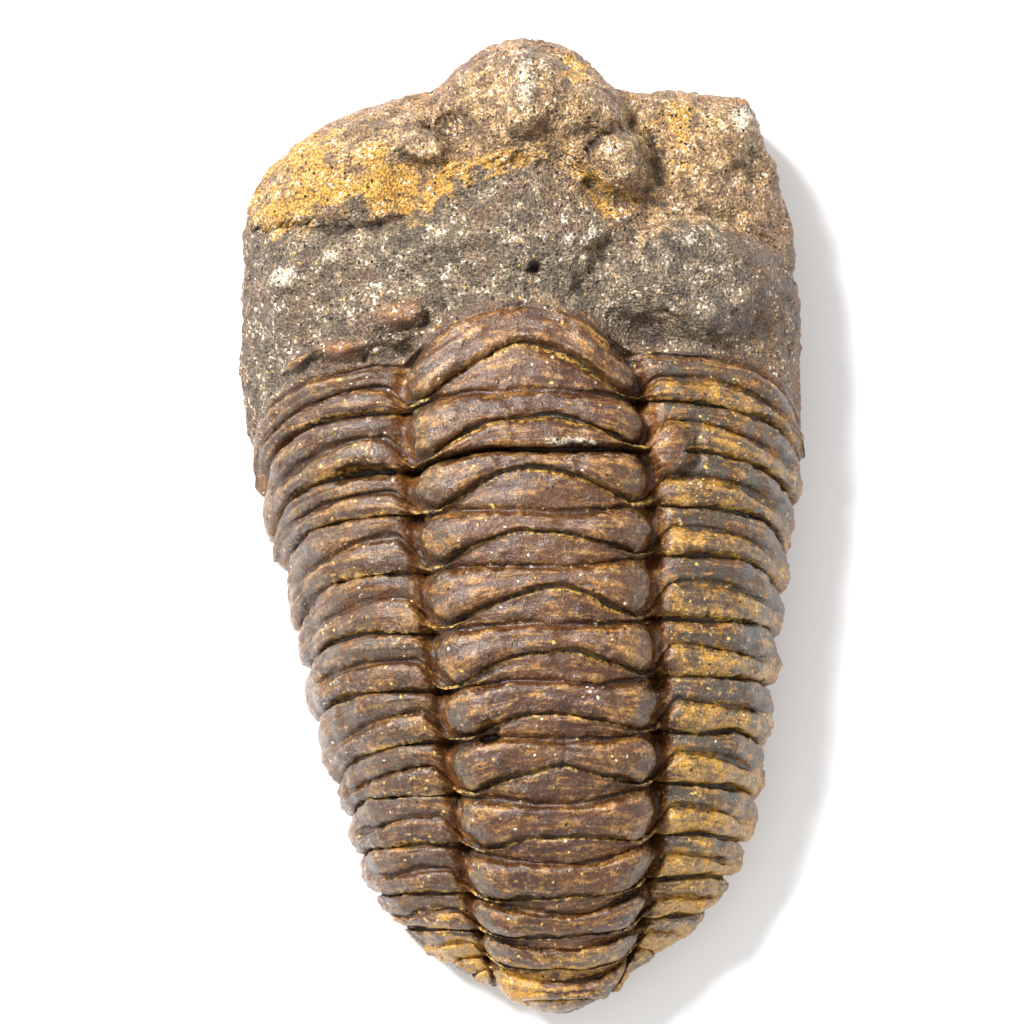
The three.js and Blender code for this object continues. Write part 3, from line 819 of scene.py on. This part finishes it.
def paintStains(mesh, x, y, row, across, inFurrow, sandy, patch):
    # ochre, rust, pale places, and dark places that are partly brown stain and partly painted shade
    chips = readAttribute(mesh, "chips")
    rearRib = onRearRib(row)
    right = smooth(1.0, 1.1, across) * smooth(2.9, 3.3, row)
    tail = smooth(11.5, 15.5, row) * (1 - right) * (1 + 0.7 * patch)
    archTo, archAlong = nearCurve(x, y, neckArch["through"])
    block = chips * patched("block", x, y)

    part = ochreShares
    yellow = patched("yellow", x, y) + part["neckArch"] * notch(archTo, neckArch["colourWidth"])
    yellow *= 1 - 0.45 * smooth(0.3, 0.7, field(readPlaces(mesh), 3, 4, seed=13) + 0.45)
    ochre = yellow * (1 - 0.85 * sandy) + right * (part["rightSide"] + part["rightRearRibs"] * rearRib)
    ochre += part["tail"] * tail + part["rightFarBack"] * right * smooth(7, 14, row)
    ochre += part["leftRearRibs"] * rearRib * smooth(1.05, 1.2, -across)
    ochre = ochre * (1 - chips) + part["block"] * block + part["filling"] * sandy
    ochre += part["archLines"] * readAttribute(mesh, "lines")
    writeAttribute(mesh, "ochre", np.clip(ochre, 0, 1))

    part = rustShares
    rust = patched("rust", x, y) + part["furrows"] * inFurrow * smooth(3, 3.3, row)
    rust += part["margin"] * smooth(1.75, 2.1, np.abs(across)) + part["frontEdge"] * (1 - smooth(0, 0.3, row))
    rust += part["block"] * block + part["rightEndOfArch"] * notch(archTo, 0.6) * smooth(0.6, 0.8, archAlong)
    writeAttribute(mesh, "rust", np.clip(rust, 0, 1))
    pale = patched("pale", x, y) + patched("topOfBlock", x, y) * chips
    writeAttribute(mesh, "pale", np.clip(pale, 0, 1))
    # dark brown: partly stain, partly painted shade in hollows and under edges
    darkStainAndShade = patched("darkStainAndShade", x, y) + patched("darkFilling", x, y) * sandy
    writeAttribute(mesh, "darkStainAndShade", np.clip(darkStainAndShade, 0, 1))


def paintZones(mesh):
    # what the material reads: how worn each place is, where shade and highlight are painted, and which stuff
    # shows there
    places = readPlaces(mesh)
    x, y = places[:, 0], places[:, 1]
    row = readAttribute(mesh, "row")
    across = readAttribute(mesh, "across")
    head = readAttribute(mesh, "head")
    chips = readAttribute(mesh, "chips")
    a = np.abs(across)
    inFurrow = paintWearAndShade(mesh, x, y, across, head)
    patch = field(places, 5, 4, seed=8) + 0.8 * field(places, 1.0, 3, seed=11)
    behindNeck = smooth(2.97, 3.03, 6.06 - row + 0.25 * patch)
    sandy = smooth(-0.4, 0.4, np.interp(x, neckFrontX, neckFrontY) - y + 1.8 * patch) * behindNeck
    writeAttribute(mesh, "sandy", sandy)
    writeAttribute(mesh, "stony", head * behindNeck * (1 - chips))
    paintStains(mesh, x, y, row, across, inFurrow, sandy, patch)
    rearRib = onRearRib(row)
    onSide = smooth(1.03, 1.1, a) * (1 - smooth(1.8, 2, a)) * smooth(3.0, 3.3, row) * (1 - head)
    # less slate on the left side: partly its browner tone, partly painted light for the brighter lit left
    # side
    onSide *= np.where(across < 0, 0.65, 1)
    writeAttribute(mesh, "side", onSide * (1 - 0.45 * rearRib) * (1 - chips))
    knobs = smooth(0.68, 0.8, a) * (1 - smooth(0.97, 1.02, a)) * (1 - head)
    writeAttribute(mesh, "knob", knobs * np.where(across < 0, 1, 0.4))


def layUv(mesh):
    layer = mesh.uv_layers.new(name="skin")
    row = readAttribute(mesh, "row")
    across = readAttribute(mesh, "across")
    corners = np.empty(len(mesh.loops), dtype=np.int32)
    mesh.loops.foreach_get("vertex_index", corners)
    wide, long = net["uvSize"]
    uv = np.stack([across[corners] * wide, row[corners] * long], axis=1)
    layer.data.foreach_set("uv", uv.astype(np.float32).ravel())


def plug(tree, socket, value):
    if isinstance(value, bpy.types.NodeSocket):
        tree.links.new(value, socket)
    elif isinstance(value, tuple) and len(value) == 3 and socket.type == "RGBA":
        socket.default_value = (*value, 1)
    else:
        socket.default_value = value


def mixed(tree, share, low, high, way="MIX"):
    made = tree.nodes.new("ShaderNodeMix")
    made.data_type = "RGBA"
    made.blend_type = way
    plug(tree, made.inputs[0], share)
    plug(tree, made.inputs[6], low)
    plug(tree, made.inputs[7], high)
    return made.outputs[2]


def sums(tree, way, one, other):
    made = tree.nodes.new("ShaderNodeMath")
    made.operation = way
    plug(tree, made.inputs[0], one)
    plug(tree, made.inputs[1], other)
    return made.outputs[0]


def stepped(tree, value, low, high, top=1.0):
    made = tree.nodes.new("ShaderNodeMapRange")
    made.interpolation_type = "SMOOTHSTEP"
    plug(tree, made.inputs["Value"], value)
    made.inputs["From Min"].default_value = low
    made.inputs["From Max"].default_value = high
    made.inputs["To Max"].default_value = top
    return made.outputs["Result"]


def noiseAt(tree, where, size, detail, rough, stretch=None):
    # size in millimetres
    if stretch:
        made = tree.nodes.new("ShaderNodeMapping")
        plug(tree, made.inputs["Vector"], where)
        made.inputs["Scale"].default_value = stretch
        where = made.outputs[0]
    made = tree.nodes.new("ShaderNodeTexNoise")
    plug(tree, made.inputs["Vector"], where)
    made.inputs["Scale"].default_value = 1 / (size * mm)
    made.inputs["Detail"].default_value = detail
    made.inputs["Roughness"].default_value = rough
    return made.outputs["Fac"]


def attribute(tree, name):
    made = tree.nodes.new("ShaderNodeAttribute")
    made.attribute_name = name
    return made.outputs["Fac"]


def cells(tree, where, size):
    # grains: a random number for each, and how high its middle stands
    made = tree.nodes.new("ShaderNodeTexVoronoi")
    plug(tree, made.inputs["Vector"], where)
    made.inputs["Scale"].default_value = 1 / (size * mm)
    apart = tree.nodes.new("ShaderNodeSeparateColor")
    plug(tree, apart.inputs[0], made.outputs["Color"])
    return apart.outputs[0], apart.outputs[1], made.outputs["Distance"]


stoneColours = {
    "umber": (0.062, 0.024, 0.0065),
    "violet": (0.040, 0.015, 0.0065),
    "tan": (0.28, 0.138, 0.031),
    "rust": (0.165, 0.056, 0.010),
    "greyDark": (0.070, 0.053, 0.036),
    "greyLight": (0.20, 0.155, 0.105),
    "greyBrown": (0.115, 0.072, 0.040),
    "peachDark": (0.110, 0.067, 0.032),
    "peachLight": (0.33, 0.215, 0.105),
    "ochre": (0.37, 0.19, 0.022),
    "cream": (0.30, 0.19, 0.062),
    "worn": (0.24, 0.175, 0.115),
    "slate": (0.052, 0.042, 0.030),
    "gold": (0.58, 0.35, 0.07),
    "white": (0.55, 0.50, 0.40),
    # dark brown, partly stain and partly painted shade
    "brownAndShade": (0.05, 0.027, 0.014),
    "speckDark": (0.30, 0.26, 0.22),  # both multiply the colour under them
    "speckLight": (2.1, 2.0, 1.85),
    # near black: painted shade in the hollows, and also the rare black grains
    "pit": (0.014, 0.006, 0.003),
}


finish = {
    # noises: size in millimetres, detail and roughness
    "streaks": (0.5, 6, 0.75),
    "streakStretch": (0.18, 1, 1),  # long along the rings
    "patches": (5, 4, 0.6),
    "mottling": (1.4, 6, 0.75),
    "fine": (0.45, 4, 0.75),
    "grit": (0.2, 2, 0.7),
    "grains": 0.2,
    "coarseGrains": 0.34,
    # from where to where a noise turns into a colour, and how much of it at most
    "violet": (0.44, 0.58),
    "tan": (0.66, 0.88, 0.9),
    "shellRust": (0.56, 0.68, 0.25),
    "slateOnSides": (0.56, 0.46, 0.9),
    "slateOnKnobs": (0.55, 0.45, 0.8),
    "peach": (0.42, 0.6),
    "grey": (0.42, 0.62),
    "greyBrown": (0.5, 0.6, 0.5),
    # partly stain, partly painted shade
    "brownAndShade": (0.62, 0.42, 1.0),
    "rust": (0.4, 0.55, 0.85),
    "cream": (0.44, 0.62),
    "ochre": (0.76, 0.94, 0.9),
    "worn": (0.5, 0.62, 0.8),
    "white": (0.66, 0.85, 0.85),
    "speckles": (0.36, 0.66),
    # painted shade in the hollows
    "hollows": (0.14, 0.8, 0.94),
    "seams": (0.46, 0.58, 0.95),
    "specular": 0.52,
    "roughness": -0.14,  # then mottled, and rougher on the stony head
    "mottledRoughness": 0.9,
    "stonyRoughness": 0.25,
    "bumpDepth": 0.24,
}
# the point attributes that the stone is painted by
painted = [
    "hollowShade", "crest", "ridge", "knob", "seam", "rust", "pale", "darkStainAndShade", "sandy", "stony", "ochre", "side",
]
# rare grains: their number, what brings more of them and how many, where they begin, what breaks them up
rareGrains = [
    ("gold", "grainKind", "ochre", 0.1, 0.994, "fine", (0.5, 0.54)),
    ("white", "grainTone", "stony", 0.12, 0.994, "mottle", (0.5, 0.56)),
    ("pit", "coarseTone", "stony", 0.08, 0.98, "coarseDistance", (0.5, 0.3)),
]


def weighted(tree, *parts):
    # a sum of values, each times its own weight
    products = [value if weight == 1 else sums(tree, "MULTIPLY", value, weight) for value, weight in parts]
    total = products[0]
    for product in products[1:]:
        total = sums(tree, "ADD", total, product)
    return total


def laid(tree, p, colour, part, pattern, steps, tone):
    # a tone laid over the colour where the mesh is painted for it, broken up by a noise
    share = sums(tree, "MULTIPLY", p[part], stepped(tree, p[pattern], *steps))
    return mixed(tree, share, colour, stoneColours[tone])


def patterns(tree):
    # the noises, and what is painted on the mesh
    where = tree.nodes.new("ShaderNodeTexCoord").outputs["Object"]
    uvMap = tree.nodes.new("ShaderNodeUVMap")
    uvMap.uv_map = "skin"
    p = {name: attribute(tree, name) for name in painted}
    p["streak"] = noiseAt(tree, uvMap.outputs[0], *finish["streaks"], stretch=finish["streakStretch"])
    p["patches"] = noiseAt(tree, where, *finish["patches"])
    p["mottle"] = noiseAt(tree, where, *finish["mottling"])
    p["fine"] = noiseAt(tree, where, *finish["fine"])
    p["grit"] = noiseAt(tree, where, *finish["grit"])
    p["grainTone"], p["grainKind"], p["grainDistance"] = cells(tree, where, finish["grains"])
    p["coarseTone"], _, p["coarseDistance"] = cells(tree, where, finish["coarseGrains"])
    return p


def shellColour(tree, p):
    # umber and violet with tan streaks along the rings, slate on the sides and knobs
    c, f = stoneColours, finish
    shell = mixed(tree, stepped(tree, p["patches"], *f["violet"]), c["umber"], c["violet"])
    # crests lighter tan: partly the worn tan tone, partly a painted highlight on the raised places
    bright = weighted(tree, (p["crest"], 0.06), (p["streak"], 1), (p["fine"], 0.35))
    shell = mixed(tree, stepped(tree, bright, *f["tan"]), shell, c["tan"])
    shell = mixed(tree, stepped(tree, p["mottle"], *f["shellRust"]), shell, c["rust"])
    shell = laid(tree, p, shell, "side", "mottle", f["slateOnSides"], "slate")
    return laid(tree, p, shell, "knob", "mottle", f["slateOnKnobs"], "slate")


def headColour(tree, p):
    # peach coloured stone, with grey sandy filling behind it
    c, f = stoneColours, finish
    peach = mixed(tree, stepped(tree, p["mottle"], *f["peach"]), c["peachDark"], c["peachLight"])
    grey = mixed(tree, stepped(tree, p["mottle"], *f["grey"]), c["greyDark"], c["greyLight"])
    grey = mixed(tree, stepped(tree, p["patches"], *f["greyBrown"]), grey, c["greyBrown"])
    return mixed(tree, p["sandy"], peach, grey)


def stained(tree, colour, p):
    c, f = stoneColours, finish
    # dark brown laid in hollows and under edges: partly stain, partly painted shade
    colour = laid(tree, p, colour, "darkStainAndShade", "fine", f["brownAndShade"], "brownAndShade")
    colour = laid(tree, p, colour, "rust", "mottle", f["rust"], "rust")
    yellow = mixed(tree, stepped(tree, p["fine"], *f["cream"]), c["ochre"], c["cream"])
    yellowness = weighted(tree, (p["ochre"], 0.5), (p["mottle"], 0.7), (p["streak"], 0.35))
    colour = mixed(tree, stepped(tree, yellowness, *f["ochre"]), colour, yellow)
    colour = laid(tree, p, colour, "ridge", "fine", f["worn"], "worn")
    paleness = weighted(tree, (p["pale"], 0.5), (p["fine"], 0.8))
    return mixed(tree, stepped(tree, paleness, *f["white"]), colour, c["white"])


def grained(tree, colour, p):
    # lighter and darker grains, and here and there a gold, white or black one
    c, f = stoneColours, finish
    speckled = mixed(tree, stepped(tree, p["grit"], *f["speckles"]), c["speckDark"], c["speckLight"])
    grittiness = weighted(tree, (p["stony"], 0.35), (0.5, 1))
    colour = mixed(tree, grittiness, colour, speckled, "MULTIPLY")
    for tone, number, helper, more, least, pattern, steps in rareGrains:
        rare = sums(tree, "GREATER_THAN", weighted(tree, (p[number], 1), (p[helper], more)), least)
        colour = mixed(tree, sums(tree, "MULTIPLY", rare, stepped(tree, p[pattern], *steps)), colour, c[tone])
    return colour


def stoneBump(tree, p):
    # the shell is smoother than the head
    fineHeight = weighted(tree, (p["stony"], 1.05), (0.45, 1))
    gritHeight = weighted(tree, (p["stony"], 0.3), (0.16, 1))
    beadHeight = weighted(tree, (p["stony"], -0.5), (-0.04, 1))
    height = weighted(tree, (p["fine"], fineHeight), (p["grit"], gritHeight), (p["streak"], 0.3),
                      (p["grainDistance"], beadHeight))
    bump = tree.nodes.new("ShaderNodeBump")
    bump.inputs["Strength"].default_value = 1.0
    bump.inputs["Distance"].default_value = finish["bumpDepth"] * mm
    tree.links.new(height, bump.inputs["Height"])
    return bump.outputs["Normal"]


def stoneMaterial():
    f = finish
    material = bpy.data.materials.new("fossil stone")
    material.use_nodes = True
    tree = material.node_tree
    shader = tree.nodes["Principled BSDF"]
    p = patterns(tree)
    colour = mixed(tree, p["stony"], shellColour(tree, p), headColour(tree, p))
    colour = grained(tree, stained(tree, colour, p), p)
    # painted shade: the hollows darkened towards near black
    colour = mixed(tree, stepped(tree, p["hollowShade"], *f["hollows"]), colour, stoneColours["pit"])
    colour = laid(tree, p, colour, "seam", "fine", f["seams"], "gold")
    tree.links.new(colour, shader.inputs["Base Color"])
    dull = weighted(tree, (p["stony"], f["stonyRoughness"]), (p["mottle"], f["mottledRoughness"]))
    tree.links.new(sums(tree, "ADD", dull, f["roughness"]), shader.inputs["Roughness"])
    shader.inputs["Specular IOR Level"].default_value = f["specular"]
    tree.links.new(stoneBump(tree, p), shader.inputs["Normal"])
    return material


def makeFossil():
    mesh = coarseSkin()
    print("net laid on the body:", len(mesh.vertices), "points")
    weldCorners(mesh)
    roughen(mesh)
    print("surface roughened")
    cutBase(mesh)
    paintZones(mesh)
    layUv(mesh)
    writePlaces(mesh, readPlaces(mesh) * mm)
    mesh.materials.append(stoneMaterial())
    fossil = bpy.data.objects.new("fossil", mesh)
    bpy.context.collection.objects.link(fossil)
    print("fossil made:", sum(len(p.vertices) - 2 for p in mesh.polygons), "triangles")
    return fossil


studio = {
    "floorSize": 1.2,
    "floorColour": (0.86, 0.86, 0.86),
    "worldLight": 0.9,
    "keyAt": (-0.27, 0.27, 0.45),
    "keySize": 0.15,
    "keyPower": 9.0,
    "fillAt": (0.35, -0.15, 0.45),
    "fillSize": 0.5,
    "fillPower": 0.4,
    "viewCentre": (-0.66, 0.93),  # millimetres, what the middle of the picture looks at
    "viewWidth": 79.05,
    "viewLevel": 6,  # height above the base where that width is measured
    "lens": 200,
    "sensor": 36,
}


def makeFloor():
    bm = bmesh.new()
    bmesh.ops.create_grid(bm, x_segments=2, y_segments=2, size=studio["floorSize"] / 2)
    mesh = bpy.data.meshes.new("floor")
    bm.to_mesh(mesh)
    bm.free()
    material = bpy.data.materials.new("pale floor")
    material.use_nodes = True
    shader = material.node_tree.nodes["Principled BSDF"]
    shader.inputs["Base Color"].default_value = (*studio["floorColour"], 1)
    shader.inputs["Roughness"].default_value = 0.9
    mesh.materials.append(material)
    floor = bpy.data.objects.new("floor", mesh)
    bpy.context.collection.objects.link(floor)
    return floor


def areaLight(name, at, size, power):
    data = bpy.data.lights.new(name, "AREA")
    data.size = size
    data.energy = power
    light = bpy.data.objects.new(name, data)
    light.location = at
    light.rotation_euler = (-Vector(at)).to_track_quat("-Z", "Y").to_euler()
    bpy.context.collection.objects.link(light)


def makeStudio():
    world = bpy.data.worlds.new("studio")
    world.use_nodes = True
    background = world.node_tree.nodes["Background"]
    background.inputs["Color"].default_value = (1, 1, 1, 1)
    background.inputs["Strength"].default_value = studio["worldLight"]
    bpy.context.scene.world = world
    areaLight("key", studio["keyAt"], studio["keySize"], studio["keyPower"])
    areaLight("fill", studio["fillAt"], studio["fillSize"], studio["fillPower"])
    data = bpy.data.cameras.new("camera")
    data.lens = studio["lens"]
    data.sensor_width = studio["sensor"]
    camera = bpy.data.objects.new("camera", data)
    distance = studio["viewWidth"] * studio["lens"] / studio["sensor"]
    centreX, centreY = studio["viewCentre"]
    camera.location = (centreX * mm, centreY * mm, (studio["viewLevel"] + distance) * mm)
    bpy.context.collection.objects.link(camera)
    bpy.context.scene.camera = camera
    bpy.context.scene.view_settings.view_transform = "Standard"


fossil = makeFossil()
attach(fossil, "root")
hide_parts("trilobite_fossil")
floor = makeFloor()
makeStudio()
print("studio ready")
